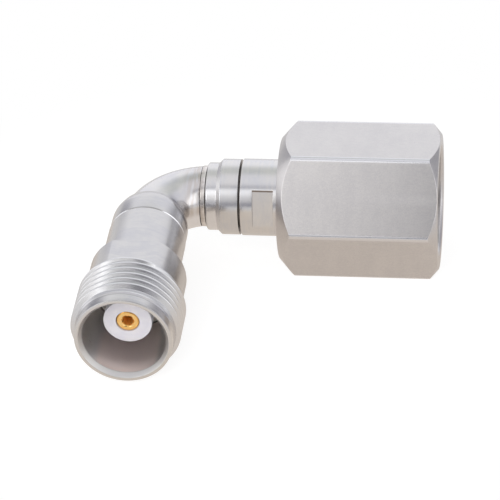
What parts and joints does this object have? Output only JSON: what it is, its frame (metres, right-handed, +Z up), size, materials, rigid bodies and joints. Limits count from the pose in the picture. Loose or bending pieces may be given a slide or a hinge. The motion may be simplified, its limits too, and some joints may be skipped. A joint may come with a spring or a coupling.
{
  "type": "coax adapter",
  "caption": "Swept right-angle coax adapter: a threaded jack with a white insulator, a bent tube, and a plug with a hexagonal coupling nut that spins.",
  "frame": {"origin": "middle of the coupling nut's lower flat, on the surface that the adapter rests on", "axes": "+X along the plug's axis, out of the nut's open mouth; +Z up, away from the resting surface; the jack points to -Y, drooping 3.8 degrees"},
  "size_m": [0.0356, 0.0349, 0.0143],
  "materials": {
    "steel": "turned stainless steel, passivated, fine turning lines",
    "nut_steel": "stainless hexagon bar, satin, fine grain along the nut",
    "bushing_steel": "turned stainless steel",
    "bright_contact": "white bronze plating, bright",
    "gold": "gold plating, bright",
    "silvered_wire": "silvered copper wire",
    "ptfe": "white fluoropolymer, slightly waxy",
    "silicone": "red silicone rubber, matt"
  },
  "bodies": {
    "adapter": {"jack_body": "steel", "jack_insulator": "ptfe", "jack_contact": "gold", "jack_bead": "ptfe", "jack_bushing": "bushing_steel", "jack_sleeve": "steel", "elbow_tube": "steel", "elbow_dielectric": "ptfe", "elbow_conductor": "silvered_wire", "braze_ring": "steel", "plug_collar": "steel", "plug_body": "steel", "plug_bushing": "bushing_steel", "plug_bead": "ptfe", "plug_insulator": "ptfe", "plug_pin": "gold", "plug_sleeve": "bright_contact", "face_gasket": "silicone", "lock_ring": "bright_contact"},
    "nut": {"coupling_nut": "nut_steel"}
  },
  "joints": [
    {"name": "nut_spin", "type": "hinge", "parent": "adapter", "child": "nut", "pos_m": [0, 0, 0.00715], "axis": [1, 0, 0], "continuous": true}
  ]
}
